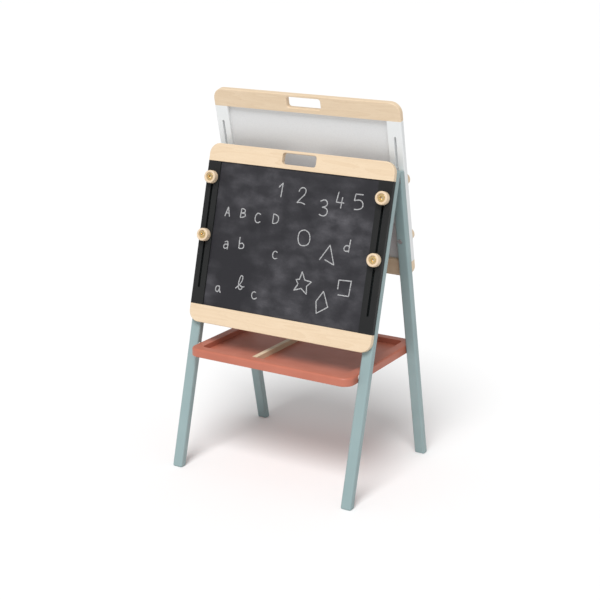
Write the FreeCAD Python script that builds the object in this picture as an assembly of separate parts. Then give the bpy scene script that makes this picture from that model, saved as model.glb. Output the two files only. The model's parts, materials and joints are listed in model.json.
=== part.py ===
# Kids easel: a folding A-frame with a chalkboard on the front, a whiteboard on the back and a
# toy tray between the legs. The front faces -Y, +X is to the right seen from the front, +Z is up,
# and the origin is on the floor under the middle of the easel. Millimetres.
import FreeCAD, Part
import math
import os
from FreeCAD import Vector

os.makedirs("parts", exist_ok=True)

# Frame
EASEL_WIDTH = 560.0
LEG_TILT = 14.1
HINGE_HEIGHT = 842.0
LEG_WIDTH = 30.0
LEG_THICKNESS = 22.0
LEG_EDGE_ROUND = 5.0
LEG_FOOT_ROUND = 4.0
LEG_TOP_ROUND = 6.0
MITRE_HEIGHT = 6.0

# Boards
BOARD_HEIGHT = 490.0
BOARD_THICKNESS = 16.0
RAIL_HEIGHT = 48.5
STILE_WIDTH = 40.0
BOARD_CORNER = 30.0
BOARD_EDGE_ROUND = 2.0
PANEL_THICKNESS = 4.0
PANEL_SETBACK = 4.0
GROOVE_DEPTH = 7.0
PANEL_EDGE_GAP = 0.5
CHALKBOARD_RISE = 27.0
WHITEBOARD_RISE = 181.0

# Handle slot in each top rail
HANDLE_LENGTH = 102.0
HANDLE_HEIGHT = 30.0
HANDLE_CORNER = 7.0
HANDLE_CENTRE_DROP = 22.0

# Height slots in the stiles
SLOT_WIDTH = 6.6
SLOT_TOP_DROP = 90.0
SLOT_BOTTOM_DROP = 397.0

# Clamps
CLAMP_X = 260.0
CLAMP_SPACING = 158.0
FRONT_CLAMP_DROP = 66.6
REAR_CLAMP_DROP = 36.5
BOLT_RADIUS = 3.0
BOLT_REACH = 49.0
BOLT_HEAD_RADIUS = 6.5
BOLT_HEAD_HEIGHT = 3.0
BOLT_HEAD_SINK = 0.6
BOLT_KEY_FLATS = 4.0
BOLT_KEY_DEPTH = 1.8
WASHER_RADIUS = 8.0
WASHER_THICKNESS = 1.0
KNOB_RADIUS = 17.5
KNOB_HEIGHT = 17.0
KNOB_RIM_ROUND = 3.5
KNOB_BACK_ROUND = 1.5
KNOB_DISH_RADIUS = 11.5
KNOB_DISH_DEPTH = 3.0
KNOB_DISH_ROUND = 1.0
INSERT_RADIUS = 6.0
INSERT_FLANGE_RADIUS = 10.0
INSERT_FLANGE_HEIGHT = 1.2
INSERT_CHAMFER = 0.4
INSERT_BACK_GAP = 0.5
INSERT_KEY_FLATS = 8.0
INSERT_KEY_DEPTH = 7.0

# Hinges between the leg tops
HINGE_LENGTH = 24.0
HINGE_LEAF_HEIGHT = 26.0
HINGE_LEAF_THICKNESS = 1.4
HINGE_LEAF_TOP_DROP = 1.0
HINGE_LEAF_CORNER = 2.0
HINGE_BARREL_RADIUS = 3.0
HINGE_PIN_RADIUS = 1.25
HINGE_RELIEF_RADIUS = 3.6
HINGE_SCREW_DROP = 16.0
HINGE_SCREW_SPACING = 12.0
SCREW_RADIUS = 1.5
SCREW_HEAD_RADIUS = 2.9
SCREW_LENGTH = 12.0
SCREW_END_GAP = 0.5
SCREW_SLOT_DEPTH = 0.6
SCREW_SLOT_WIDTH = 0.8

# Tray
TRAY_WIDTH = 497.2
TRAY_DEPTH = 394.0
TRAY_HEIGHT = 23.0
TRAY_BOTTOM_HEIGHT = 318.0
TRAY_RIM = 28.0
TRAY_RECESS = 15.0
TRAY_CORNER = 30.0
TRAY_INNER_CORNER = 12.0
TRAY_INNER_ROUND = 1.5
TRAY_TOP_ROUND = 6.0
TRAY_BOTTOM_ROUND = 2.0
DIVIDER_X = -53.5
DIVIDER_WIDTH = 13.0
DIVIDER_EDGE_ROUND = 1.0
DIVIDER_SCREW_Y = 120.0
DIVIDER_SCREW_LENGTH = 18.0
DIVIDER_SCREW_HEAD_HEIGHT = 2.0
PIVOT_BELOW_RIM = 9.0
PIVOT_PIN_RADIUS = 3.0
PIVOT_BUSH_RADIUS = 4.0
PIN_DEPTH_IN_LEG = 12.0
PIN_DEPTH_IN_TRAY = 11.0
CATCH_RADIUS = 4.0
CATCH_DEPTH = 12.0
CATCH_BALL_RADIUS = 3.0
CATCH_BALL_REACH = 1.0
CATCH_BORE_DEPTH = 8.0
STRIKE_RADIUS = 5.0
STRIKE_THICKNESS = 1.5
STRIKE_DIMPLE_DEPTH = 0.8

# Dowels between the rails and the stiles, two in each joint
DOWEL_RADIUS = 3.0
DOWEL_LENGTH = 30.0
DOWEL_END_GAP = 0.5
DOWEL_OFFSETS = (-9.0, 6.0)

# Clearances, how far a cutter runs past a face, and how near an edge has to be to count as on a face
RUNNING_FIT = 0.05
LOOSE_FIT = 0.2
SEAT_GAP = 0.01
CUT_PAST = 10.0
NEAR = 0.1

# Worked out
TILT = math.radians(LEG_TILT)
HALF_WIDTH = EASEL_WIDTH / 2
LEG_INSIDE_X = HALF_WIDTH - LEG_WIDTH
LEG_CENTRE_X = HALF_WIDTH - LEG_WIDTH / 2
BOARD_BACK = LEG_THICKNESS
BOARD_FACE = LEG_THICKNESS + BOARD_THICKNESS
KNOB_SEAT = BOARD_FACE + WASHER_THICKNESS
PANEL_FACE = BOARD_FACE - PANEL_SETBACK
STILE_INNER_X = HALF_WIDTH - STILE_WIDTH
PIVOT_HEIGHT = TRAY_BOTTOM_HEIGHT + TRAY_HEIGHT - PIVOT_BELOW_RIM
CATCH_HEIGHT = TRAY_BOTTOM_HEIGHT + TRAY_HEIGHT / 2

ORIGIN = Vector(0, 0, 0)
X_AXIS = Vector(1, 0, 0)
Y_AXIS = Vector(0, 1, 0)
Z_AXIS = Vector(0, 0, 1)
OUTWARD = Vector(0, -1, 0)

parts = {}


# The leg frame: x runs across the easel, z up the leg from the hinge axis, and -y outward from the
# inner face of the legs. place() leans it and stands it on the front or the rear of the easel.
def place(shape, side):
    placed = shape.copy()
    placed.rotate(ORIGIN, X_AXIS, -LEG_TILT)
    placed.translate(Vector(0, 0, HINGE_HEIGHT))
    if side == "rear":
        placed.rotate(ORIGIN, Z_AXIS, 180)
    return placed


def mirrored(shape):
    return shape.mirror(ORIGIN, X_AXIS)


def box(low, high):
    size = Vector(*high) - Vector(*low)
    return Part.makeBox(size.x, size.y, size.z, Vector(*low))


def group(shapes):
    return Part.makeCompound(shapes)


def in_leg_frame(depth, height):
    """Leg-frame z of the point that is depth outward of the inner face at a height off the floor."""
    return -(HINGE_HEIGHT + depth * math.sin(TILT) - height) / math.cos(TILT)


def straight_edges(shape, axis, test):
    chosen = []
    for edge in shape.Edges:
        if not isinstance(edge.Curve, Part.Line):
            continue
        direction = edge.Curve.Direction
        if abs(abs(direction.dot(axis)) - 1) < 1e-6 and test(edge.CenterOfMass):
            chosen.append(edge)
    return chosen


def loop_edges(shape, test):
    return [edge for edge in shape.Edges if test(edge.BoundBox)]


def rounded_plate(half_x, half_z, corner, thickness):
    """A plate in the XZ plane, centred on the origin, that runs outward by its thickness."""
    plate = box((-half_x, -thickness, -half_z), (half_x, 0, half_z))
    return plate.makeFillet(corner, straight_edges(plate, Y_AXIS, lambda c: True))


def hexagon(flats, length, base, direction):
    """A six-sided bar across flats, from base along direction, which is along Y."""
    radius = flats / math.sqrt(3)
    points = []
    for step in range(7):
        angle = math.radians(60 * step)
        points.append(Vector(radius * math.cos(angle), 0, radius * math.sin(angle)) + base)
    return Part.Face(Part.makePolygon(points)).extrude(direction * length)


# Legs: flat painted battens with a mitred top, so the two of a pair meet on a short upright face.
def leg_outline():
    """The leg seen from the side: upright mitre, level top with a rounded outer corner, level foot."""
    mitre_top = Vector(0, -MITRE_HEIGHT * math.sin(TILT), MITRE_HEIGHT * math.cos(TILT))
    top_run = (LEG_THICKNESS + mitre_top.y) / math.cos(TILT)
    outer_top = Vector(0, -LEG_THICKNESS, mitre_top.z - top_run * math.sin(TILT))
    level = Vector(0, math.cos(TILT), math.sin(TILT))
    turn = (math.pi / 2 - TILT) / 2
    setback = LEG_TOP_ROUND * math.tan(turn)
    round_start = outer_top + level * setback
    round_end = outer_top - Z_AXIS * setback
    inward = (level - Z_AXIS).normalize()
    centre = outer_top + inward * (LEG_TOP_ROUND / math.cos(turn))
    round_middle = centre - inward * LEG_TOP_ROUND
    outer_foot = Vector(0, -LEG_THICKNESS, in_leg_frame(LEG_THICKNESS, 0))
    inner_foot = Vector(0, 0, in_leg_frame(0, 0))
    corner = Part.Arc(round_start, round_middle, round_end).toShape()
    return Part.Wire([
        Part.makeLine(ORIGIN, mitre_top),
        Part.makeLine(mitre_top, round_start),
        corner,
        Part.makeLine(round_end, outer_foot),
        Part.makeLine(outer_foot, inner_foot),
        Part.makeLine(inner_foot, ORIGIN),
    ])


def leg_blank():
    foot = in_leg_frame(LEG_THICKNESS, 0)
    batten = box((LEG_INSIDE_X, -LEG_THICKNESS, foot - CUT_PAST), (HALF_WIDTH, 0, CUT_PAST))
    batten = batten.makeFillet(LEG_EDGE_ROUND, straight_edges(batten, Z_AXIS, lambda c: True))
    side = Part.Face(leg_outline())
    side.translate(X_AXIS * LEG_INSIDE_X)
    blank = batten.common(side.extrude(X_AXIS * LEG_WIDTH))
    foot_edges = loop_edges(blank, lambda b: b.ZMax < in_leg_frame(0, 0) + NEAR)
    return blank.makeFillet(LEG_FOOT_ROUND, foot_edges)


def clamp_drops(first_drop):
    return (first_drop, first_drop + CLAMP_SPACING)


def hinge_recess():
    middle = LEG_CENTRE_X
    reach = HINGE_LENGTH / 2 + LOOSE_FIT
    seat = box((middle - reach, -HINGE_LEAF_THICKNESS, -HINGE_LEAF_HEIGHT - LOOSE_FIT),
               (middle + reach, CUT_PAST, CUT_PAST))
    relief = Part.makeCylinder(HINGE_RELIEF_RADIUS, 2 * reach, Vector(middle - reach, 0, 0), X_AXIS)
    return seat.fuse(relief)


def screw_places():
    for offset in (-HINGE_SCREW_SPACING / 2, HINGE_SCREW_SPACING / 2):
        yield Vector(LEG_CENTRE_X + offset, 0, -HINGE_SCREW_DROP)


def leg(first_drop, socket_height, socket_radius):
    body = leg_blank().cut(hinge_recess())
    seat_radius = BOLT_HEAD_RADIUS + LOOSE_FIT
    seat_depth = BOLT_HEAD_HEIGHT + BOLT_HEAD_SINK
    for drop in clamp_drops(first_drop):
        start = Vector(CLAMP_X, 0, -drop)
        body = body.cut(Part.makeCylinder(seat_radius, seat_depth, start, OUTWARD))
        body = body.cut(Part.makeCylinder(BOLT_RADIUS + LOOSE_FIT, LEG_THICKNESS, start, OUTWARD))
    for start in screw_places():
        body = body.cut(Part.makeCylinder(SCREW_RADIUS + RUNNING_FIT, SCREW_LENGTH, start, OUTWARD))
    middle = LEG_THICKNESS / 2
    start = Vector(LEG_INSIDE_X, -middle, in_leg_frame(middle, socket_height))
    depth = PIN_DEPTH_IN_LEG + LOOSE_FIT
    return body.cut(Part.makeCylinder(socket_radius + RUNNING_FIT, depth, start, X_AXIS))


# Hinges: two leaves on a steel pin, let into the inner faces of the leg tops.
def knuckle_spans():
    third = HINGE_LENGTH / 3
    start = LEG_CENTRE_X - HINGE_LENGTH / 2
    return [(start, start + third - LOOSE_FIT), (start + third, start + 2 * third),
            (start + 2 * third + LOOSE_FIT, start + HINGE_LENGTH)]


def hinge_leaf(own_knuckles):
    start = LEG_CENTRE_X - HINGE_LENGTH / 2
    end = start + HINGE_LENGTH
    leaf = box((start, -HINGE_LEAF_THICKNESS, -HINGE_LEAF_HEIGHT), (end, 0, -HINGE_LEAF_TOP_DROP))
    lower_corners = straight_edges(leaf, Y_AXIS, lambda c: c.z < -HINGE_LEAF_HEIGHT / 2)
    leaf = leaf.makeFillet(HINGE_LEAF_CORNER, lower_corners)
    barrel_room = HINGE_BARREL_RADIUS + LOOSE_FIT
    leaf = leaf.cut(Part.makeCylinder(barrel_room, HINGE_LENGTH, Vector(start, 0, 0), X_AXIS))
    for index, (low, high) in enumerate(knuckle_spans()):
        if index in own_knuckles:
            barrel = Part.makeCylinder(HINGE_BARREL_RADIUS, high - low, Vector(low, 0, 0), X_AXIS)
            strap_foot = -HINGE_BARREL_RADIUS - HINGE_LEAF_TOP_DROP
            strap = box((low, -HINGE_LEAF_THICKNESS, strap_foot), (high, 0, -HINGE_LEAF_TOP_DROP))
            leaf = leaf.fuse(barrel).fuse(strap)
    bore = HINGE_PIN_RADIUS + RUNNING_FIT
    leaf = leaf.cut(Part.makeCylinder(bore, HINGE_LENGTH, Vector(start, 0, 0), X_AXIS)).removeSplitter()
    for start in screw_places():
        leaf = leaf.cut(Part.makeCone(SCREW_HEAD_RADIUS + RUNNING_FIT, SCREW_RADIUS + RUNNING_FIT,
                                      HINGE_LEAF_THICKNESS, start, OUTWARD))
    return leaf


def hinge_screw(head_place):
    head = Part.makeCone(SCREW_HEAD_RADIUS, SCREW_RADIUS, HINGE_LEAF_THICKNESS, head_place, OUTWARD)
    shank_start = head_place + OUTWARD * HINGE_LEAF_THICKNESS
    shank_length = SCREW_LENGTH - HINGE_LEAF_THICKNESS - SCREW_END_GAP
    shank = Part.makeCylinder(SCREW_RADIUS, shank_length, shank_start, OUTWARD)
    slot = box((-SCREW_HEAD_RADIUS, -SCREW_SLOT_DEPTH, -SCREW_SLOT_WIDTH / 2),
               (SCREW_HEAD_RADIUS, CUT_PAST, SCREW_SLOT_WIDTH / 2))
    slot.translate(head_place)
    return head.fuse(shank).removeSplitter().cut(slot)


def hinge_screws():
    right = [hinge_screw(head_place) for head_place in screw_places()]
    return right + [mirrored(screw) for screw in right]


def hinge_pin():
    start = LEG_CENTRE_X - HINGE_LENGTH / 2
    return Part.makeCylinder(HINGE_PIN_RADIUS, HINGE_LENGTH, Vector(start, 0, 0), X_AXIS)


# Clamps: a socket-head connector bolt through the leg and the stile's slot, a washer, and a turned
# knob with a brass insert that threads on the bolt.
def clamp_bolt(x, drop):
    head_start = Vector(x, -BOLT_HEAD_SINK, -drop)
    head = Part.makeCylinder(BOLT_HEAD_RADIUS, BOLT_HEAD_HEIGHT - SEAT_GAP, head_start, OUTWARD)
    shank = Part.makeCylinder(BOLT_RADIUS, BOLT_REACH - BOLT_HEAD_SINK, head_start, OUTWARD)
    key = hexagon(BOLT_KEY_FLATS, BOLT_KEY_DEPTH, head_start, OUTWARD)
    return head.fuse(shank).removeSplitter().cut(key)


def washer(x, drop):
    ring_start = Vector(x, -BOARD_FACE, -drop)
    disc = Part.makeCylinder(WASHER_RADIUS, WASHER_THICKNESS, ring_start, OUTWARD)
    return disc.cut(Part.makeCylinder(BOLT_RADIUS + LOOSE_FIT, WASHER_THICKNESS, ring_start, OUTWARD))


def turned(profile, x, drop):
    """Revolve a closed outline of (radius, height) edges about the bolt, seated at the washer."""
    shape = Part.Face(Part.Wire(profile)).revolve(ORIGIN, Z_AXIS, 360)
    shape.rotate(ORIGIN, X_AXIS, 90)
    shape.translate(Vector(x, -KNOB_SEAT, -drop))
    return shape


def line(a, b):
    return Part.makeLine(Vector(a[0], 0, a[1]), Vector(b[0], 0, b[1]))


def round_corner(a, corner, b):
    """Quarter round from a to b that bulges towards the square corner between them."""
    start = Vector(a[0], 0, a[1])
    end = Vector(b[0], 0, b[1])
    tip = Vector(corner[0], 0, corner[1])
    centre = start + end - tip
    middle = centre + (tip - centre) / math.sqrt(2)
    return Part.Arc(start, middle, end).toShape()


def knob(x, drop):
    bore = INSERT_RADIUS + RUNNING_FIT
    top = KNOB_HEIGHT
    floor = top - KNOB_DISH_DEPTH
    side = KNOB_RADIUS
    dish = KNOB_DISH_RADIUS
    rim = KNOB_RIM_ROUND
    back = KNOB_BACK_ROUND
    lip = KNOB_DISH_ROUND
    profile = [
        line((bore, 0), (side - back, 0)),
        round_corner((side - back, 0), (side, 0), (side, back)),
        line((side, back), (side, top - rim)),
        round_corner((side, top - rim), (side, top), (side - rim, top)),
        line((side - rim, top), (dish + lip, top)),
        round_corner((dish + lip, top), (dish, top), (dish, top - lip)),
        line((dish, top - lip), (dish, floor)),
        line((dish, floor), (bore, floor)),
        line((bore, floor), (bore, 0)),
    ]
    return turned(profile, x, drop)


def insert(x, drop):
    floor = KNOB_HEIGHT - KNOB_DISH_DEPTH
    top = floor + INSERT_FLANGE_HEIGHT
    bore = BOLT_RADIUS + RUNNING_FIT
    side = INSERT_RADIUS
    flange = INSERT_FLANGE_RADIUS
    bevel = INSERT_CHAMFER
    back = INSERT_BACK_GAP
    profile = [
        line((bore, back), (side, back)),
        line((side, back), (side, floor)),
        line((side, floor), (flange, floor)),
        line((flange, floor), (flange, top - bevel)),
        line((flange, top - bevel), (flange - bevel, top)),
        line((flange - bevel, top), (bore, top)),
        line((bore, top), (bore, back)),
    ]
    key_start = Vector(x, -KNOB_SEAT - top, -drop)
    key = hexagon(INSERT_KEY_FLATS, INSERT_KEY_DEPTH, key_start, Y_AXIS)
    return turned(profile, x, drop).cut(key)


# Boards: a rail at the top and bottom, two slotted stiles and a thin panel let into grooves.
# A board is built with its top edge at z = 0 and raised to its place on the legs afterwards.
def panel_blank(margin):
    half = STILE_INNER_X + margin
    low = -BOARD_HEIGHT + RAIL_HEIGHT - margin
    high = -RAIL_HEIGHT + margin
    return box((-half, -PANEL_FACE, low), (half, -PANEL_FACE + PANEL_THICKNESS, high))


def dowel_places():
    middle = -(BOARD_BACK + BOARD_FACE) / 2
    for offset in DOWEL_OFFSETS:
        for sign in (-1, 1):
            for z in (-RAIL_HEIGHT, -BOARD_HEIGHT + RAIL_HEIGHT):
                yield Vector(sign * (LEG_CENTRE_X + offset), middle, z)


def dowel(centre, radius, length):
    return Part.makeCylinder(radius, length, centre - Z_AXIS * (length / 2), Z_AXIS)


def without_joinery(shape):
    cut = shape.cut(panel_blank(GROOVE_DEPTH))
    for centre in dowel_places():
        cut = cut.cut(dowel(centre, DOWEL_RADIUS + RUNNING_FIT, DOWEL_LENGTH + 2 * DOWEL_END_GAP))
    return cut


def rail_blank():
    """The top rail before its joinery: rounded outer corners and eased outer edges."""
    rail = box((-HALF_WIDTH, -BOARD_FACE, -RAIL_HEIGHT), (HALF_WIDTH, -BOARD_BACK, 0))
    corners = straight_edges(rail, Y_AXIS, lambda c: c.z > -NEAR)
    rail = rail.makeFillet(BOARD_CORNER, corners)
    outer = loop_edges(rail, lambda b: b.YLength < NEAR and b.ZMax > -RAIL_HEIGHT + NEAR)
    return rail.makeFillet(BOARD_EDGE_ROUND, outer)


def handle_hole():
    hole = rounded_plate(HANDLE_LENGTH / 2, HANDLE_HEIGHT / 2, HANDLE_CORNER, BOARD_THICKNESS)
    hole.translate(Vector(0, -BOARD_BACK, -HANDLE_CENTRE_DROP))
    return hole


def top_rail():
    rail = rail_blank().cut(handle_hole())
    low = -HANDLE_CENTRE_DROP - HANDLE_HEIGHT / 2
    high = -HANDLE_CENTRE_DROP + HANDLE_HEIGHT / 2
    reach = HANDLE_LENGTH / 2 + NEAR

    def on_handle(bounds):
        inside = bounds.ZMin > low - NEAR and bounds.ZMax < high + NEAR
        return inside and bounds.XMin > -reach and bounds.XMax < reach and bounds.YLength < NEAR

    rail = rail.makeFillet(BOARD_EDGE_ROUND, loop_edges(rail, on_handle))
    return without_joinery(rail)


def bottom_rail():
    rail = rail_blank().mirror(ORIGIN, Z_AXIS)
    rail.translate(Vector(0, 0, -BOARD_HEIGHT))
    return without_joinery(rail)


def stile():
    """The stile on the +x side, with its long height slot."""
    low = -BOARD_HEIGHT + RAIL_HEIGHT
    bar = box((STILE_INNER_X, -BOARD_FACE, low), (HALF_WIDTH, -BOARD_BACK, -RAIL_HEIGHT))
    outer = straight_edges(bar, Z_AXIS, lambda c: c.x > HALF_WIDTH - NEAR)
    bar = bar.makeFillet(BOARD_EDGE_ROUND, outer)
    radius = SLOT_WIDTH / 2
    top = -SLOT_TOP_DROP - radius
    bottom = -SLOT_BOTTOM_DROP + radius
    slot = box((CLAMP_X - radius, -BOARD_FACE, bottom), (CLAMP_X + radius, -BOARD_BACK, top))
    for z in (bottom, top):
        end = Vector(CLAMP_X, -BOARD_BACK, z)
        slot = slot.fuse(Part.makeCylinder(radius, BOARD_THICKNESS, end, OUTWARD))
    return without_joinery(bar.cut(slot.removeSplitter()))


def add_board(name, side, rise):
    def fit(shape):
        raised = shape.copy()
        raised.translate(Vector(0, 0, rise))
        return place(raised, side)

    right_stile = stile()
    left_stile = mirrored(right_stile)
    if side == "rear":
        right_stile, left_stile = left_stile, right_stile
    parts[name + "_top_rail"] = fit(top_rail())
    parts[name + "_bottom_rail"] = fit(bottom_rail())
    parts[name + "_left_stile"] = fit(left_stile)
    parts[name + "_right_stile"] = fit(right_stile)
    parts[name + "_panel"] = fit(panel_blank(GROOVE_DEPTH - PANEL_EDGE_GAP))
    dowels = [dowel(centre, DOWEL_RADIUS, DOWEL_LENGTH) for centre in dowel_places()]
    parts[name + "_dowels"] = fit(group(dowels))


def add_side(side, first_drop, socket, own_knuckles):
    """The two legs of one side with their hinge leaves, clamp bolts, washers and knobs."""
    right_leg = leg(first_drop, *socket)
    right_leaf = hinge_leaf(own_knuckles)
    for hand, sign in (("right", 1), ("left", -1)):
        local = sign if side == "front" else -sign
        own_leg = right_leg if local > 0 else mirrored(right_leg)
        own_leaf = right_leaf if local > 0 else mirrored(right_leaf)
        parts[side + "_" + hand + "_leg"] = place(own_leg, side)
        parts[side + "_" + hand + "_hinge_leaf"] = place(own_leaf, side)
        for level, drop in zip(("upper", "lower"), clamp_drops(first_drop)):
            knob_name = "_".join((side, level, hand, "knob"))
            parts[knob_name] = place(knob(local * CLAMP_X, drop), side)
            parts[knob_name + "_insert"] = place(insert(local * CLAMP_X, drop), side)
    places = [(sign * CLAMP_X, drop) for sign in (-1, 1) for drop in clamp_drops(first_drop)]
    parts[side + "_clamp_bolts"] = place(group([clamp_bolt(x, drop) for x, drop in places]), side)
    parts[side + "_clamp_washers"] = place(group([washer(x, drop) for x, drop in places]), side)
    parts[side + "_hinge_screws"] = place(group(hinge_screws()), side)


# Tray: one routed board with a flat rim and a divider strip. It hangs on a pin in each front leg, and
# a sprung ball catch in each rear leg holds its back end level.
def leg_middle_y(height):
    """Distance from the easel's middle plane to the middle of a leg's thickness at a height."""
    depth = LEG_THICKNESS / 2
    return -in_leg_frame(depth, height) * math.sin(TILT) + depth * math.cos(TILT)


def pin_pair(radius, inner_x, outer_x, y, height):
    pins = []
    for sign in (-1, 1):
        start = Vector(sign * inner_x, y, height)
        pins.append(Part.makeCylinder(radius, outer_x - inner_x, start, X_AXIS * sign))
    return pins


def tray():
    half_x = TRAY_WIDTH / 2
    half_y = TRAY_DEPTH / 2
    blank = box((-half_x, -half_y, 0), (half_x, half_y, TRAY_HEIGHT))
    blank = blank.makeFillet(TRAY_CORNER, straight_edges(blank, Z_AXIS, lambda c: True))
    top = loop_edges(blank, lambda b: b.ZMin > TRAY_HEIGHT - NEAR)
    blank = blank.makeFillet(TRAY_TOP_ROUND, top)
    bottom = loop_edges(blank, lambda b: b.ZMax < NEAR)
    blank = blank.makeFillet(TRAY_BOTTOM_ROUND, bottom)
    inner_x = half_x - TRAY_RIM
    inner_y = half_y - TRAY_RIM
    floor = TRAY_HEIGHT - TRAY_RECESS
    recess = box((-inner_x, -inner_y, floor), (inner_x, inner_y, TRAY_HEIGHT + CUT_PAST))
    recess = recess.makeFillet(TRAY_INNER_CORNER, straight_edges(recess, Z_AXIS, lambda c: True))
    blank = blank.cut(recess)

    def on_inner_top(bounds):
        within = bounds.YMax < inner_y + NEAR and bounds.YMin > -inner_y - NEAR
        return within and bounds.ZMin > TRAY_HEIGHT - NEAR

    blank = blank.makeFillet(TRAY_INNER_ROUND, loop_edges(blank, on_inner_top))
    blank.translate(Z_AXIS * TRAY_BOTTOM_HEIGHT)
    bush_bores = pin_pair(PIVOT_BUSH_RADIUS + RUNNING_FIT, half_x - PIN_DEPTH_IN_TRAY - LOOSE_FIT,
                          half_x + CUT_PAST, -leg_middle_y(PIVOT_HEIGHT), PIVOT_HEIGHT)
    for cutter in bush_bores + divider_screws(RUNNING_FIT) + strike_discs(RUNNING_FIT):
        blank = blank.cut(cutter)
    return blank


def strike_discs(extra):
    half_x = TRAY_WIDTH / 2
    return pin_pair(STRIKE_RADIUS + extra, half_x - STRIKE_THICKNESS - extra, half_x + extra,
                    leg_middle_y(CATCH_HEIGHT), CATCH_HEIGHT)


def catch_spheres(centre_x):
    y = leg_middle_y(CATCH_HEIGHT)
    centres = [Vector(sign * centre_x, y, CATCH_HEIGHT) for sign in (-1, 1)]
    return [Part.makeSphere(CATCH_BALL_RADIUS, centre) for centre in centres]


def tray_strikes(extra):
    dimples = catch_spheres(TRAY_WIDTH / 2 + CATCH_BALL_RADIUS - STRIKE_DIMPLE_DEPTH)
    return [disc.cut(dimple) for disc, dimple in zip(strike_discs(extra), dimples)]


def catch_balls():
    return catch_spheres(LEG_INSIDE_X + CATCH_BALL_RADIUS - CATCH_BALL_REACH)


def catch_barrels():
    y = leg_middle_y(CATCH_HEIGHT)
    sleeves = pin_pair(CATCH_RADIUS, LEG_INSIDE_X, LEG_INSIDE_X + CATCH_DEPTH, y, CATCH_HEIGHT)
    bores = pin_pair(CATCH_BALL_RADIUS + RUNNING_FIT, LEG_INSIDE_X, LEG_INSIDE_X + CATCH_BORE_DEPTH,
                     y, CATCH_HEIGHT)
    return [sleeve.cut(bore) for sleeve, bore in zip(sleeves, bores)]


def tray_pivot_pins():
    inner = TRAY_WIDTH / 2 - PIN_DEPTH_IN_TRAY
    outer = LEG_INSIDE_X + PIN_DEPTH_IN_LEG
    return pin_pair(PIVOT_PIN_RADIUS, inner, outer, -leg_middle_y(PIVOT_HEIGHT), PIVOT_HEIGHT)


def tray_bushes():
    half_x = TRAY_WIDTH / 2
    pivot_y = -leg_middle_y(PIVOT_HEIGHT)
    inner = half_x - PIN_DEPTH_IN_TRAY
    outer = pin_pair(PIVOT_BUSH_RADIUS, inner, half_x, pivot_y, PIVOT_HEIGHT)
    bores = pin_pair(PIVOT_PIN_RADIUS + RUNNING_FIT, inner, half_x, pivot_y, PIVOT_HEIGHT)
    return [sleeve.cut(bore) for sleeve, bore in zip(outer, bores)]


def tray_spacers():
    pivot_y = -leg_middle_y(PIVOT_HEIGHT)
    inner = TRAY_WIDTH / 2 + RUNNING_FIT
    outer = LEG_INSIDE_X
    discs = pin_pair(WASHER_RADIUS, inner, outer, pivot_y, PIVOT_HEIGHT)
    bores = pin_pair(PIVOT_PIN_RADIUS + LOOSE_FIT, inner, outer, pivot_y, PIVOT_HEIGHT)
    return [disc.cut(bore) for disc, bore in zip(discs, bores)]


def tray_divider():
    half_y = TRAY_DEPTH / 2 - TRAY_RIM - LOOSE_FIT
    floor = TRAY_BOTTOM_HEIGHT + TRAY_HEIGHT - TRAY_RECESS
    half_width = DIVIDER_WIDTH / 2
    top = floor + TRAY_RECESS
    strip = box((DIVIDER_X - half_width, -half_y, floor), (DIVIDER_X + half_width, half_y, top))
    upper_edges = straight_edges(strip, Y_AXIS, lambda c: c.z > top - NEAR)
    strip = strip.makeFillet(DIVIDER_EDGE_ROUND, upper_edges)
    for screw in divider_screws(RUNNING_FIT):
        strip = strip.cut(screw)
    return strip


def divider_screws(extra):
    screws = []
    for y in (-DIVIDER_SCREW_Y, DIVIDER_SCREW_Y):
        start = Vector(DIVIDER_X, y, TRAY_BOTTOM_HEIGHT)
        head = Part.makeCone(SCREW_HEAD_RADIUS + extra, SCREW_RADIUS + extra,
                             DIVIDER_SCREW_HEAD_HEIGHT, start, Z_AXIS)
        shank = Part.makeCylinder(SCREW_RADIUS + extra, DIVIDER_SCREW_LENGTH + extra, start, Z_AXIS)
        screws.append(head.fuse(shank).removeSplitter())
    return screws


add_side("front", FRONT_CLAMP_DROP, (PIVOT_HEIGHT, PIVOT_PIN_RADIUS), (0, 2))
add_side("rear", REAR_CLAMP_DROP, (CATCH_HEIGHT, CATCH_RADIUS), (1,))
add_board("chalkboard", "front", CHALKBOARD_RISE)
add_board("whiteboard", "rear", WHITEBOARD_RISE)
parts["hinge_pins"] = place(group([hinge_pin(), mirrored(hinge_pin())]), "front")
parts["tray"] = tray()
parts["tray_divider"] = tray_divider()
parts["tray_divider_screws"] = group(divider_screws(0))
parts["tray_pivot_bushes"] = group(tray_bushes())
parts["tray_spacers"] = group(tray_spacers())
parts["tray_pivot_pins"] = group(tray_pivot_pins())
parts["tray_strikes"] = group(tray_strikes(0))
parts["catch_barrels"] = group(catch_barrels())
parts["catch_balls"] = group(catch_balls())

for name, shape in parts.items():
    shape.exportStep("parts/" + name + ".step")
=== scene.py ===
import bmesh
import bpy
import json
import math
from mathutils import Matrix, Vector


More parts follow.
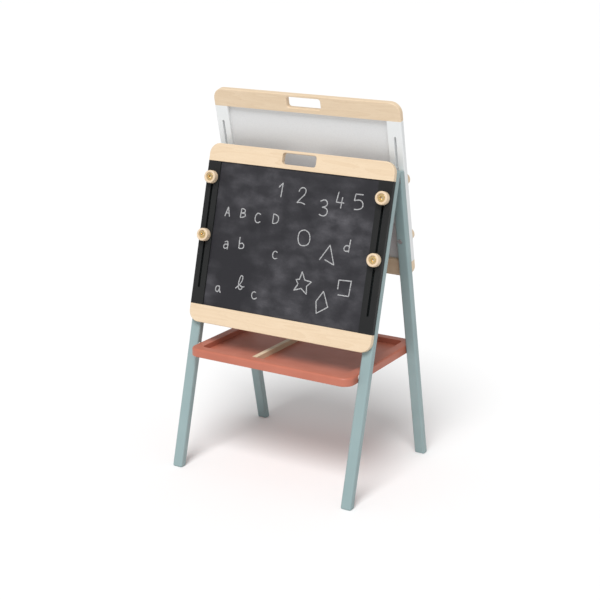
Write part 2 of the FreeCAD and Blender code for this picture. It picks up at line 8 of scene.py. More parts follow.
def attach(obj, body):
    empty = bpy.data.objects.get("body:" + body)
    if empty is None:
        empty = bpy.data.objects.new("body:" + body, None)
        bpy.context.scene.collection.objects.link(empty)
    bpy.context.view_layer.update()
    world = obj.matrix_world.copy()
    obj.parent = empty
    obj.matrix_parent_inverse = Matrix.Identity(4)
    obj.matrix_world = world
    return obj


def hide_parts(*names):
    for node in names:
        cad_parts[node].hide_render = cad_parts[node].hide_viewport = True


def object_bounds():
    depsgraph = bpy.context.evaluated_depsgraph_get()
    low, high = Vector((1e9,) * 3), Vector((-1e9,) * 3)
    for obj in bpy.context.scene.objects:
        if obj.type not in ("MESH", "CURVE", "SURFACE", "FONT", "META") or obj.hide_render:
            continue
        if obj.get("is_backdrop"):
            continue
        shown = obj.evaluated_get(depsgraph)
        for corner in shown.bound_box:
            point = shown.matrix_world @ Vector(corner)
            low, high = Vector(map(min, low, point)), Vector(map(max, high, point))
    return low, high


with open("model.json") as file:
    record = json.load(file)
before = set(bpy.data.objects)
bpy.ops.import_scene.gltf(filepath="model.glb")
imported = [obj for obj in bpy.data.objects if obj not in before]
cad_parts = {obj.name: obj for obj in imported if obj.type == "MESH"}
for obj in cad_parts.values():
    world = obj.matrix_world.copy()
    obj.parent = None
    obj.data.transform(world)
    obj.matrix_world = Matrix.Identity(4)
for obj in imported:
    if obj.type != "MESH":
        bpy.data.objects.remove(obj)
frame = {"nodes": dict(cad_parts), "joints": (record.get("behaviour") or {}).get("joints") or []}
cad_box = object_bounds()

# The viewer's place: the easel stands a little turned, seen from its front right and from just
# above its boards, with a long lens. The camera leans by less than a degree.
VIEW_AZIMUTH = math.radians(30.18)
VIEW_ELEVATION = math.radians(16.12)
VIEW_DISTANCE = 3.5624
VIEW_AIM = Vector((-0.01154, -0.00162, 0.4645))
VIEW_ROLL = math.radians(0.67)
VIEW_LENS = 78.33
FILM_WIDTH = 36.0
VIEW_REACH = 200.0


def set_camera():
    level = math.cos(VIEW_ELEVATION)
    east = math.sin(VIEW_AZIMUTH) * level
    south = math.cos(VIEW_AZIMUTH) * level
    towards = Vector((east, -south, math.sin(VIEW_ELEVATION)))
    right = Vector((0, 0, 1)).cross(towards).normalized()
    up = towards.cross(right)
    leaned_right = right * math.cos(VIEW_ROLL) + up * math.sin(VIEW_ROLL)
    leaned_up = up * math.cos(VIEW_ROLL) - right * math.sin(VIEW_ROLL)
    data = bpy.data.cameras.new("camera")
    data.lens = VIEW_LENS
    data.sensor_width = FILM_WIDTH
    data.clip_end = VIEW_REACH
    camera = bpy.data.objects.new("camera", data)
    turn = Matrix((leaned_right, leaned_up, towards)).transposed().to_4x4()
    camera.matrix_world = Matrix.Translation(VIEW_AIM + towards * VIEW_DISTANCE) @ turn
    bpy.context.scene.collection.objects.link(camera)
    bpy.context.scene.camera = camera


set_camera()

# The studio: a wide pale floor that runs off into pale air, and soft lights. None of it is the easel.
# Nodes in every tree of this file are added and wired by node().
FLOOR_REACH = 60.0
FLOOR_COLOUR = (0.88, 0.88, 0.88, 1)
AIR_COLOUR = (1.0, 1.0, 1.0, 1)
AIR_STRENGTH = 0.50
KEY_STRENGTH = 2.7
KEY_SPREAD = math.radians(28)
KEY_FROM = (0.16, -0.58, 0.80)


def node(tree, kind, inputs=None, out=0, **settings):
    """Add a node, set or wire its inputs by name or number, and return one of its outputs."""
    made = tree.nodes.new(kind)
    for key, value in settings.items():
        setattr(made, key, value)
    for key, value in (inputs or {}).items():
        if isinstance(value, bpy.types.NodeSocket):
            tree.links.new(value, made.inputs[key])
        else:
            made.inputs[key].default_value = value
    return made.outputs[out] if made.outputs else None


def new_material(name):
    """A material with an empty tree, and its tree."""
    material = bpy.data.materials.new(name)
    material.use_nodes = True
    material.node_tree.nodes.clear()
    return material, material.node_tree


def close_material(tree, colour, roughness, bump=None, **sockets):
    """End a material in one Principled shader. Numbers that don't vary go straight on its sockets."""
    inputs = {"Base Color": colour, "Roughness": roughness}
    inputs.update({key.replace("_", " "): value for key, value in sockets.items()})
    if bump is not None:
        inputs["Normal"] = bump
    shader = node(tree, "ShaderNodeBsdfPrincipled", inputs)
    node(tree, "ShaderNodeOutputMaterial", {"Surface": shader})


def noise(tree, where, scale, detail=3.0, out=0):
    return node(tree, "ShaderNodeTexNoise", {"Vector": where, "Scale": scale, "Detail": detail}, out)


def stretched(tree, per_metre, leaning=0.0):
    """Object coordinates, stood up from a lean about X, at so many pattern steps a metre on each axis."""
    place = node(tree, "ShaderNodeTexCoord", out=3)
    stood = node(tree, "ShaderNodeVectorRotate", {"Vector": place, "Angle": leaning}, rotation_type="X_AXIS")
    return node(tree, "ShaderNodeMapping", {"Vector": stood, "Scale": per_metre})


def between(tree, value, low, high, to_low=0.0, to_high=1.0):
    """Spread a value from low..high onto to_low..to_high, clamped."""
    inputs = {"Value": value, "From Min": low, "From Max": high, "To Min": to_low, "To Max": to_high}
    return node(tree, "ShaderNodeMapRange", inputs)


def mixed(tree, share, first, second):
    return node(tree, "ShaderNodeMix", {0: share, 6: first, 7: second}, 2, data_type="RGBA")


def bumped(tree, height, strength, depth):
    return node(tree, "ShaderNodeBump", {"Height": height, "Strength": strength, "Distance": depth})


def key_light():
    """One broad soft key from above the front of the easel, even over the whole floor."""
    data = bpy.data.lights.new("key", "SUN")
    data.energy = KEY_STRENGTH
    data.angle = KEY_SPREAD
    light = bpy.data.objects.new("key", data)
    light.matrix_world = Vector(KEY_FROM).to_track_quat("Z", "Y").to_matrix().to_4x4()
    bpy.context.scene.collection.objects.link(light)


def make_studio():
    rim = [(-1, -1), (1, -1), (1, 1), (-1, 1)]
    mesh = bpy.data.meshes.new("floor")
    mesh.from_pydata([(x * FLOOR_REACH, y * FLOOR_REACH, 0) for x, y in rim], [], [(0, 1, 2, 3)])
    floor = bpy.data.objects.new("floor", mesh)
    bpy.context.scene.collection.objects.link(floor)
    material, tree = new_material("pale_floor")
    grain = between(tree, noise(tree, stretched(tree, (40, 40, 40)), 1.0), 0.3, 0.7, 0.80, 0.88)
    close_material(tree, FLOOR_COLOUR, grain)
    mesh.materials.append(material)
    floor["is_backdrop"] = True
    world = bpy.data.worlds.new("air")
    world.use_nodes = True
    world.node_tree.nodes.clear()
    air = node(world.node_tree, "ShaderNodeBackground", {"Color": AIR_COLOUR, "Strength": AIR_STRENGTH})
    node(world.node_tree, "ShaderNodeOutputWorld", {"Surface": air})
    bpy.context.scene.world = world
    bpy.context.scene.view_settings.view_transform = "Standard"
    key_light()


make_studio()

# Legs: four planed beech battens, sprayed with satin sage paint that is a little rubbed on its edges, with
# the wood's grain faint under it. The front pair and the rear pair lean together, hinged at the top.
SAGE = (0.262, 0.352, 0.358, 1)
SAGE_DEEP = (0.238, 0.325, 0.332, 1)
SAGE_WORN = (0.380, 0.460, 0.455, 1)
EDGE_WEAR_RADIUS = 0.0018

joints = {joint["name"]: joint for joint in frame["joints"]}
apex = Vector(joints["frame_fold"]["pos_m"])
outward = {side: Vector(joints[side + "_upper_left_knob_turn"]["axis"]) for side in ("front", "rear")}
slides = {"front": "chalkboard_slide", "rear": "whiteboard_slide"}
up_leg = {side: Vector(joints[name]["axis"]) for side, name in slides.items()}
lean = {side: math.atan2(way.y, way.z) for side, way in up_leg.items()}


def side_stand(side):
    """From a side's own frame (x right as seen from it, y inward, z up its legs) to the easel's."""
    inward = -outward[side]
    across = inward.cross(up_leg[side])
    return Matrix.Translation(apex) @ Matrix((across, inward, up_leg[side])).transposed().to_4x4()


def worn_edges(tree, radius, grains):
    """Where a wide bevel's normal leaves the real one, broken up by noise: the rubbed edges."""
    round_normal = node(tree, "ShaderNodeBevel", {"Radius": radius}, samples=4)
    real_normal = node(tree, "ShaderNodeNewGeometry", out=1)
    inputs = {0: round_normal, 1: real_normal}
    alike = node(tree, "ShaderNodeVectorMath", inputs, 1, operation="DOT_PRODUCT")
    edge = between(tree, alike, 0.96, 0.80)
    broken = between(tree, grains, 0.50, 0.66)
    return node(tree, "ShaderNodeMath", {0: edge, 1: broken}, operation="MULTIPLY")


def paint(name, colour, deep, worn, grain_steps, roughness=0.42, leaning=0.0, gloss=0.5):
    """Satin sprayed paint over wood whose grain runs where grain_steps is smallest."""
    material, tree = new_material(name)
    cloud = noise(tree, stretched(tree, (9, 9, 9)), 1.0)
    base = mixed(tree, between(tree, cloud, 0.35, 0.65), colour, deep)
    rubbed = worn_edges(tree, EDGE_WEAR_RADIUS, noise(tree, stretched(tree, (220, 220, 220)), 1.0))
    base = mixed(tree, between(tree, rubbed, 0.0, 1.0, 0.0, 0.55), base, worn)
    grain = noise(tree, stretched(tree, grain_steps, leaning), 1.0, 5.0)
    mist = noise(tree, stretched(tree, (1400, 1400, 1400)), 1.0, 2.0)
    height = node(tree, "ShaderNodeMath", {0: grain, 1: between(tree, mist, 0, 1, 0, 0.35)}, operation="ADD")
    shine = between(tree, cloud, 0.3, 0.7, roughness - 0.04, roughness + 0.06)
    close_material(tree, base, shine, bumped(tree, height, 0.22, 0.0006), Specular_IOR_Level=gloss)
    return material


def coat(name, material):
    """Give a CAD piece's own slots one material."""
    slots = frame["nodes"][name].material_slots
    if not slots:
        frame["nodes"][name].data.materials.append(material)
    for slot in slots:
        slot.material = material


for side in ("front", "rear"):
    sage = paint("sage_" + side, SAGE, SAGE_DEEP, SAGE_WORN, (260, 260, 7), leaning=lean[side])
    for hand in ("left", "right"):
        coat(side + "_" + hand + "_leg", sage)

# Hinges: a pair of small zinc-plated steel butt hinges, each with two leaves turned about a pin. They are
# let into the legs' inner faces at the top and held by countersunk screws.
ZINC = (0.700, 0.705, 0.720, 1)
ZINC_DULL = (0.570, 0.575, 0.590, 1)


def plated_steel(name, bright, dull, roughness):
    """Zinc-plated steel: pale spangle, fine brushing and duller patches."""
    material, tree = new_material(name)
    place = stretched(tree, (260, 260, 260))
    spangle = node(tree, "ShaderNodeTexVoronoi", {"Vector": place, "Scale": 1.0})
    patches = noise(tree, stretched(tree, (90, 90, 90)), 1.0)
    colour = mixed(tree, between(tree, spangle, 0.1, 0.8), bright, dull)
    brushing = noise(tree, stretched(tree, (300, 3200, 3200)), 1.0)
    shine = between(tree, patches, 0.3, 0.7, roughness - 0.06, roughness + 0.10)
    close_material(tree, colour, shine, bumped(tree, brushing, 0.15, 0.0002), Metallic=1.0)
    return material


zinc = plated_steel("zinc_plate", ZINC, ZINC_DULL, 0.48)
for side in ("front", "rear"):
    for hand in ("left", "right"):
        coat(side + "_" + hand + "_hinge_leaf", zinc)
coat("hinge_pins", zinc)

# Screws: countersunk steel woodscrews with a cross recess, eight in the hinges and two up through the
# tray into its divider. Each is set flush, at its seat's face.
HINGE_SCREW_HEAD = 0.0029
HINGE_SCREW_SEAT = 0.0014
HINGE_SCREW_LENGTH = 0.0100
DIVIDER_SCREW_SEAT = 0.0020
DIVIDER_SCREW_LENGTH = 0.0160
SCREW_SHANK = 0.00145
RECESS_WIDTH = 0.0009
RECESS_DEPTH = 0.0010
THREAD_PITCH = 0.0013
THREAD_HEIGHT = 0.0003
THREADED_SHARE = 0.8
RECESS_REACH = 1.3
SHARP_ANGLE = math.radians(35)


def new_geometry(name, sizes):
    """A Geometry Nodes tree with a shape in, a mesh out and one named number for each size."""
    tree = bpy.data.node_groups.new(name, "GeometryNodeTree")
    tree.interface.new_socket("Source", in_out="INPUT", socket_type="NodeSocketGeometry")
    for size in sizes:
        tree.interface.new_socket(size, in_out="INPUT", socket_type="NodeSocketFloat")
    tree.interface.new_socket("Coat", in_out="INPUT", socket_type="NodeSocketMaterial")
    tree.interface.new_socket("Mesh", in_out="OUTPUT", socket_type="NodeSocketGeometry")
    given = tree.nodes.new("NodeGroupInput").outputs
    return tree, {socket.name: socket for socket in given if socket.name}


def number(tree, operation, first, second=0.0):
    return node(tree, "ShaderNodeMath", {0: first, 1: second}, operation=operation)


def vector(tree, x=0.0, y=0.0, z=0.0):
    return node(tree, "ShaderNodeCombineXYZ", {0: x, 1: y, 2: z})


def moved(tree, shape, offset):
    return node(tree, "GeometryNodeTransform", {"Geometry": shape, "Translation": offset})


def joined(tree, *shapes):
    made = tree.nodes.new("GeometryNodeJoinGeometry")
    for shape in shapes:
        tree.links.new(shape, made.inputs[0])
    return made.outputs[0]


def carved(tree, body, *tools):
    made = tree.nodes.new("GeometryNodeMeshBoolean")
    made.operation = "DIFFERENCE"
    made.solver = "EXACT"
    tree.links.new(body, made.inputs["Mesh 1"])
    for tool in tools:
        tree.links.new(tool, made.inputs["Mesh 2"])
    return made.outputs[0]


def rod(tree, radius, length, sides, start=0.0):
    """An upright cylinder whose foot is at a height."""
    inputs = {"Vertices": sides, "Radius": radius, "Depth": length}
    shape = node(tree, "GeometryNodeMeshCylinder", inputs)
    middle = number(tree, "ADD", number(tree, "MULTIPLY", length, 0.5), start)
    return moved(tree, shape, vector(tree, z=middle))


def thread(tree, radius, pitch, height, length, start):
    """A raised helix of three-sided section about the Z axis."""
    turns = number(tree, "DIVIDE", length, pitch)
    inputs = {"Resolution": 14, "Rotations": turns, "Start Radius": radius, "End Radius": radius,
              "Height": length}
    helix = node(tree, "GeometryNodeCurveSpiral", inputs)
    ridge = node(tree, "GeometryNodeCurvePrimitiveCircle", {"Resolution": 3, "Radius": height})
    inputs = {"Curve": helix, "Profile Curve": ridge, "Fill Caps": True}
    return moved(tree, node(tree, "GeometryNodeCurveToMesh", inputs), vector(tree, z=start))


def set_out(tree, given, shape):
    """Put the shape at every place, turned to point into the leg, as one plain mesh."""
    inputs = {"Points": given["Source"], "Instance": shape, "Rotation": vector(tree, x=given["Turn"])}
    copies = node(tree, "GeometryNodeInstanceOnPoints", inputs)
    hand_out(tree, given, copies)


def hand_out(tree, given, shape):
    """End a tree: every instance made real, and the piece's material set."""
    real = node(tree, "GeometryNodeRealizeInstances", {"Geometry": shape})
    coated = node(tree, "GeometryNodeSetMaterial", {"Geometry": real, "Material": given["Coat"]})
    tree.links.new(coated, tree.nodes.new("NodeGroupOutput").inputs[0])


def screw_tree():
    sizes = ["Head radius", "Seat depth", "Shank radius", "Length", "Recess width", "Recess depth",
             "Pitch", "Thread height", "Turn"]
    tree, given = new_geometry("countersunk_screw", sizes)
    inputs = {"Vertices": 32, "Radius Top": given["Shank radius"], "Radius Bottom": given["Head radius"],
              "Depth": given["Seat depth"]}
    head = node(tree, "GeometryNodeMeshCone", inputs)
    slots = []
    double = number(tree, "MULTIPLY", given["Recess depth"], 2.0)
    reach = number(tree, "MULTIPLY", given["Head radius"], RECESS_REACH)
    width = given["Recess width"]
    for size in (vector(tree, reach, width, double), vector(tree, width, reach, double)):
        slots.append(node(tree, "GeometryNodeMeshCube", {"Size": size}))
    head = carved(tree, head, *slots)
    shank_length = number(tree, "SUBTRACT", given["Length"], given["Seat depth"])
    shank = rod(tree, given["Shank radius"], shank_length, 20, given["Seat depth"])
    root = number(tree, "SUBTRACT", given["Shank radius"], given["Thread height"])
    threaded = number(tree, "MULTIPLY", shank_length, THREADED_SHARE)
    cut = thread(tree, root, given["Pitch"], given["Thread height"], threaded, given["Seat depth"])
    set_out(tree, given, joined(tree, head, shank, cut))
    return tree


def points_at(places):
    mesh = bpy.data.meshes.new("places")
    mesh.from_pydata([tuple(place) for place in places], [], [])
    return mesh


def grown(name, tree, source, sizes, material, stand=Matrix.Identity(4)):
    """Run a tree on some source data with its sizes, and return the result as a plain mesh piece."""
    maker = bpy.data.objects.new(name + "_maker", source)
    bpy.context.scene.collection.objects.link(maker)
    modifier = maker.modifiers.new("make", "NODES")
    modifier.node_group = tree
    values = dict(sizes, Coat=material)
    for socket in tree.interface.items_tree:
        if socket.in_out == "INPUT" and socket.name in values:
            modifier[socket.identifier] = values[socket.name]
    depsgraph = bpy.context.evaluated_depsgraph_get()
    mesh = bpy.data.meshes.new_from_object(maker.evaluated_get(depsgraph))
    bpy.data.objects.remove(maker)
    mesh.transform(stand)
    mesh.materials.clear()
    mesh.materials.append(material)
    return link_piece(name, mesh)


def link_piece(name, mesh):
    mesh.name = name
    piece = bpy.data.objects.new(name, mesh)
    bpy.context.scene.collection.objects.link(piece)
    mesh.shade_smooth()
    mesh.set_sharp_from_angle(angle=SHARP_ANGLE)
    return piece


def middle_of(corners):
    return (corners[0] + corners[1]) / 2


screw = screw_tree()
screw_sizes = {"Head radius": HINGE_SCREW_HEAD, "Seat depth": HINGE_SCREW_SEAT, "Shank radius": SCREW_SHANK,
               "Length": HINGE_SCREW_LENGTH, "Recess width": RECESS_WIDTH, "Recess depth": RECESS_DEPTH,
               "Pitch": THREAD_PITCH, "Thread height": THREAD_HEIGHT, "Turn": math.pi / 2}


def loose_parts(name, stand):
    """The middle of each separate solid of a CAD node, in a side's frame, found by growing its faces."""
    shape = bmesh.new()
    shape.from_mesh(frame["nodes"][name].data)
    bmesh.ops.remove_doubles(shape, verts=shape.verts, dist=1e-6)
    shape.transform(stand.inverted())
    left = set(shape.verts)
    boxes = []
    while left:
        reached = {left.pop()}
        edge_of_search = list(reached)
        while edge_of_search:
            vert = edge_of_search.pop()
            for edge in vert.link_edges:
                other = edge.other_vert(vert)
                if other not in reached:
                    reached.add(other)
                    edge_of_search.append(other)
        left -= reached
        low = Vector([min(v.co[axis] for v in reached) for axis in range(3)])
        high = Vector([max(v.co[axis] for v in reached) for axis in range(3)])
        boxes.append((low, high))
    shape.free()
    return sorted(boxes, key=lambda pair: tuple(round(c, 4) for c in pair[0]))


for side in ("front", "rear"):
    stand = side_stand(side)
    boxes = loose_parts(side + "_hinge_screws", stand)
    heads = [Vector((middle_of(pair).x, pair[1].y, middle_of(pair).z)) for pair in boxes]
    piece = grown(side + "_hinge_screw_set", screw, points_at(heads), screw_sizes, zinc, stand)
    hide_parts(side + "_hinge_screws")
    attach(piece, side + "_frame")
boxes = loose_parts("tray_divider_screws", Matrix.Identity(4))
heads = [Vector((middle_of(pair).x, middle_of(pair).y, pair[0].z)) for pair in boxes]
longer = dict(screw_sizes, Turn=0.0)
longer["Seat depth"] = DIVIDER_SCREW_SEAT
longer["Length"] = DIVIDER_SCREW_LENGTH
piece = grown("tray_divider_screw_set", screw, points_at(heads), longer, zinc)
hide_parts("tray_divider_screws")
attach(piece, "tray")

# Clamp bolts: four M6 furniture bolts a side, through the leg and the board's slot. The flat head with its
# hexagon socket is let into the leg's inner face, and the threaded end runs into the knob.
BOLT_HEAD_RADIUS = 0.0065
BOLT_HEAD_HEIGHT = 0.00298
BOLT_KEY_RADIUS = 0.0023
BOLT_KEY_DEPTH = 0.0018
BOLT_SHANK_RADIUS = 0.00278
BOLT_THREAD_HEIGHT = 0.0002
BOLT_THREAD_LENGTH = 0.0170
BOLT_PITCH = 0.0010
BOLT_THREADED_SHARE = 0.97


def bolt_tree():
    sizes = ["Head radius", "Head height", "Key radius", "Key depth", "Shank radius", "Length",
             "Thread length", "Thread height", "Pitch", "Turn"]
    tree, given = new_geometry("clamp_bolt", sizes)
    head = rod(tree, given["Head radius"], given["Head height"], 48)
    double = number(tree, "MULTIPLY", given["Key depth"], 2.0)
    inputs = {"Vertices": 6, "Radius": given["Key radius"], "Depth": double}
    key = node(tree, "GeometryNodeMeshCylinder", inputs)
    shank_length = number(tree, "SUBTRACT", given["Length"], given["Head height"])
    shank = rod(tree, given["Shank radius"], shank_length, 32, given["Head height"])
    start = number(tree, "SUBTRACT", given["Length"], given["Thread length"])
    threaded = number(tree, "MULTIPLY", given["Thread length"], BOLT_THREADED_SHARE)
    cut = thread(tree, given["Shank radius"], given["Pitch"], given["Thread height"], threaded, start)
    set_out(tree, given, joined(tree, carved(tree, head, key), shank, cut))
    return tree


bolt = bolt_tree()
for side in ("front", "rear"):
    stand = side_stand(side)
    boxes = loose_parts(side + "_clamp_bolts", stand)
    heads = [Vector((middle_of(pair).x, pair[1].y, middle_of(pair).z)) for pair in boxes]
    bolt_sizes = {"Head radius": BOLT_HEAD_RADIUS, "Head height": BOLT_HEAD_HEIGHT,
                  "Key radius": BOLT_KEY_RADIUS, "Key depth": BOLT_KEY_DEPTH,
                  "Shank radius": BOLT_SHANK_RADIUS, "Length": boxes[0][1].y - boxes[0][0].y,
                  "Thread length": BOLT_THREAD_LENGTH, "Thread height": BOLT_THREAD_HEIGHT,
                  "Pitch": BOLT_PITCH, "Turn": math.pi / 2}
    piece = grown(side + "_clamp_bolt_set", bolt, points_at(heads), bolt_sizes, zinc, stand)
    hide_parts(side + "_clamp_bolts")
    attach(piece, side + "_frame")
    coat(side + "_clamp_washers", zinc)

# Boards: beech rails at the top and bottom, doweled to two slotted stiles, with a thin panel let into a
# groove all round. The rails are clear-lacquered, so their straight pale grain and flecks show.
BEECH_PALE = (0.715, 0.570, 0.405, 1)
BEECH_TAN = (0.620, 0.465, 0.305, 1)
BEECH_FLECK = (0.440, 0.300, 0.175, 1)


def beech(name, along, lengthways, crossways, roughness=0.46, leaning=0.0):
    """Beech whose grain runs on one axis: growth bands, fine fibres and short dark ray flecks."""
    def steps(slow, fast):
        return tuple(slow if axis == along else fast for axis in range(3))

    material, tree = new_material(name)
    wander = noise(tree, stretched(tree, steps(lengthways, crossways), leaning), 1.0, 2.0)
    rings = node(tree, "ShaderNodeMath", {0: number(tree, "MULTIPLY", wander, 9.0)}, operation="FRACT")
    band = between(tree, rings, 0.15, 1.0)
    fibres = noise(tree, stretched(tree, steps(lengthways * 9, 900), leaning), 1.0, 4.0)
    flecks = noise(tree, stretched(tree, steps(90, 1500), leaning), 1.0, 1.0)
    colour = mixed(tree, between(tree, band, 0, 1, 0.05, 0.48), BEECH_PALE, BEECH_TAN)
    colour = mixed(tree, between(tree, fibres, 0.35, 0.75, 0.0, 0.40), colour, BEECH_TAN)
    colour = mixed(tree, between(tree, flecks, 0.62, 0.78, 0.0, 0.45), colour, BEECH_FLECK)
    shine = between(tree, fibres, 0.3, 0.7, roughness - 0.05, roughness + 0.08)
    close_material(tree, colour, shine, bumped(tree, fibres, 0.16, 0.0004))
    return material


rail_beech = beech("rail_beech", 0, 2.2, 26)
for board in ("chalkboard", "whiteboard"):
    coat(board + "_top_rail", rail_beech)
    coat(board + "_bottom_rail", rail_beech)
upright_beech = beech("dowel_beech", 2, 3.0, 60)
for board in ("chalkboard", "whiteboard"):
    coat(board + "_dowels", upright_beech)

# Stiles: beech again, sprayed matt black beside the chalkboard and satin white beside the whiteboard. They
# are doweled between the rails, and each has one long slot for its clamp bolts.
BLACK = (0.010, 0.0105, 0.0105, 1)
BLACK_DEEP = (0.008, 0.0085, 0.009, 1)
BLACK_WORN = (0.030, 0.031, 0.031, 1)
WHITE = (0.735, 0.750, 0.750, 1)
WHITE_DEEP = (0.710, 0.728, 0.732, 1)
WHITE_WORN = (0.780, 0.770, 0.740, 1)
STILE_GRAIN = (300, 300, 8)
stile_black = paint("stile_black", BLACK, BLACK_DEEP, BLACK_WORN, STILE_GRAIN, 0.58, lean["front"], 0.3)
stile_white = paint("stile_white", WHITE, WHITE_DEEP, WHITE_WORN, STILE_GRAIN, 0.40, lean["rear"])
for hand in ("left", "right"):
    coat("chalkboard_" + hand + "_stile", stile_black)
    coat("whiteboard_" + hand + "_stile", stile_white)

# Chalkboard panel: hardboard with a matt dark coating that has a fine tooth, let into the groove of the
# rails and stiles. Wiped chalk has left a pale haze on it in swathes.
SLATE = (0.0155, 0.0150, 0.0188, 1)
CHALK_HAZE = (0.122, 0.119, 0.132, 1)


def chalk_surface():
    material, tree = new_material("chalk_surface")
    clouds = noise(tree, stretched(tree, (5.5, 6.0, 8.0), lean["front"]), 1.0, 5.0)
    smears = noise(tree, stretched(tree, (24, 24, 34), lean["front"]), 1.0, 5.0)
    wipes = noise(tree, stretched(tree, (16, 40, 60), lean["front"]), 1.0, 4.0)
    tooth = noise(tree, stretched(tree, (1900, 1900, 1900)), 1.0, 2.0)
    swathe = between(tree, clouds, 0.38, 0.74)
    blot = between(tree, smears, 0.37, 0.69, 0.20, 1.0)
    streak = between(tree, wipes, 0.36, 0.66, 0.60, 1.0)
    dust = number(tree, "MULTIPLY", swathe, number(tree, "MULTIPLY", blot, streak))
    speck = between(tree, tooth, 0.40, 0.62, 0.60, 1.25)
    dust = number(tree, "MULTIPLY", dust, speck)
    colour = mixed(tree, dust, SLATE, CHALK_HAZE)
    shine = between(tree, dust, 0, 1, 0.62, 0.88)
    close_material(tree, colour, shine, bumped(tree, tooth, 0.25, 0.00025), Specular_IOR_Level=0.3)
    return material


coat("chalkboard_panel", chalk_surface())

# Chalk drawings: a child's numbers, letters and shapes, each stroke a low grainy ridge of chalk on the
# panel. Each mark's place is its middle, right of the board's middle and below the board's top, in mm.
ROUND = "NURBS"
STRAIGHT = "POLY"
STROKE_WIDTH = 0.0033
STROKE_HEIGHT = 0.00022
STROKE_STEP = 0.0012
HAND_SHAKE = 0.00045
CHALK_WHITE = (0.450, 0.450, 0.455, 1)
CHALK_THIN = (0.130, 0.130, 0.138, 1)
HEIGHT_OFF_PANEL = 0.00004
OVAL = [(0, 10), (-7, 9), (-9, 0), (-6, -9), (1, -10), (8, -7), (9, 2), (5, 9), (0, 10)]
MARKS = {
    "one": (-42, 105, 1.9, [(STRAIGHT, [(-5, 3), (1, 10), (0, -10)])]),
    "two": (21, 114, 2.1, [(ROUND, [(-5, 5), (-3, 11), (5, 10), (5, 3), (-1, -3), (-6, -9)]),
                           (ROUND, [(-6, -9), (-1, -7), (6, -10)])]),
    "three": (89, 138, 2.1, [(ROUND, [(-5, 8), (1, 12), (6, 6), (3, 2), (-2, 1)]),
                             (ROUND, [(-2, 1), (5, 1), (7, -6), (1, -11), (-5, -8)])]),
    "four": (135, 112, 2.1, [(STRAIGHT, [(-3, 10), (-5, -3), (6, -3)]), (STRAIGHT, [(3, 4), (2, -10)])]),
    "five": (187, 111, 2.2, [(STRAIGHT, [(6, 9), (-4, 9), (-5, 1)]),
                             (ROUND, [(-5, 1), (3, 4), (8, -3), (4, -9), (-4, -9)])]),
    "letter_a": (-200, 182, 1.35, [(STRAIGHT, [(-6, -9), (0, 10), (5, -9)]),
                                   (STRAIGHT, [(-4, -2), (4, -2)])]),
    "letter_b": (-152, 180, 1.35, [(STRAIGHT, [(-4, 9), (-5, -9)]),
                                   (ROUND, [(-4, 9), (5, 9), (5, 1), (-4, 0)]),
                                   (ROUND, [(-4, 0), (6, 1), (7, -7), (-5, -9)])]),
    "letter_c": (-103, 187, 1.4, [(ROUND, [(5, 7), (0, 11), (-7, 4), (-6, -7), (1, -10), (6, -6)])]),
    "letter_d": (-51, 183, 1.4, [(STRAIGHT, [(-4, 9), (-4, -9)]),
                                  (ROUND, [(-4, 9), (6, 8), (9, -1), (4, -9), (-4, -9)])]),
    "small_a": (-192, 271, 1.25, [(ROUND, [(-4, 6), (1, 10), (5, 5), (4, -9)]),
                                  (ROUND, [(4, 1), (-3, 3), (-7, -4), (-2, -9), (4, -5)])]),
    "small_b": (-145, 262, 1.5, [(STRAIGHT, [(-4, 12), (-4, -8)]),
                                 (ROUND, [(-4, -1), (1, 3), (7, -2), (4, -9), (-4, -8)])]),
    "small_c": (-36, 277, 1.3, [(ROUND, [(5, 5), (0, 9), (-6, 3), (-5, -6), (1, -9), (6, -6)])]),
    "circle": (44, 222, 2.1, [(ROUND, OVAL)]),
    "triangle": (124, 254, 2.6, [(STRAIGHT, [(-10, -7), (0, 9), (7, -10), (-4, -6)])]),
    "small_d": (173, 228, 1.6, [(STRAIGHT, [(5, 12), (4, -9)]),
                                (ROUND, [(4, 1), (-2, 3), (-6, -4), (-2, -9), (4, -6)])]),
    "round_a": (-200, 392, 1.2, [(ROUND, [(4, 6), (-4, 8), (-7, -2), (-2, -8), (4, -3), (4, 6)]),
                                 (ROUND, [(4, 6), (4, -4), (8, -8)])]),
    "looped_b": (-132, 368, 1.6, [(ROUND, [(-8, -9), (2, 0), (5, 12), (0, 15), (-3, 4),
                                           (-3, -9), (4, -10), (5, -4), (0, -3)]),
                                  (ROUND, [(0, -3), (4, -6), (9, -4)])]),
    "round_c": (-84, 392, 1.2, [(ROUND, [(4, 6), (-2, 9), (-7, 1), (-4, -8), (3, -9), (8, -5)])]),
    "star": (58, 338, 2.6, [(STRAIGHT, [(-2, 11), (2, 3), (10, 2), (5, -3), (6, -11), (-1, -6), (-9, -9),
                                        (-5, -2), (-8, 2), (-4, 3), (-2, 11)])]),
    "square": (181, 334, 2.0, [(STRAIGHT, [(-9, -3), (-9, 9), (9, 10), (8, -10), (-8, -10)])]),
    "diamond": (123, 380, 2.6, [(STRAIGHT, [(0, 11), (-7, 0), (-5, -12), (7, -4), (0, 11)])]),
}


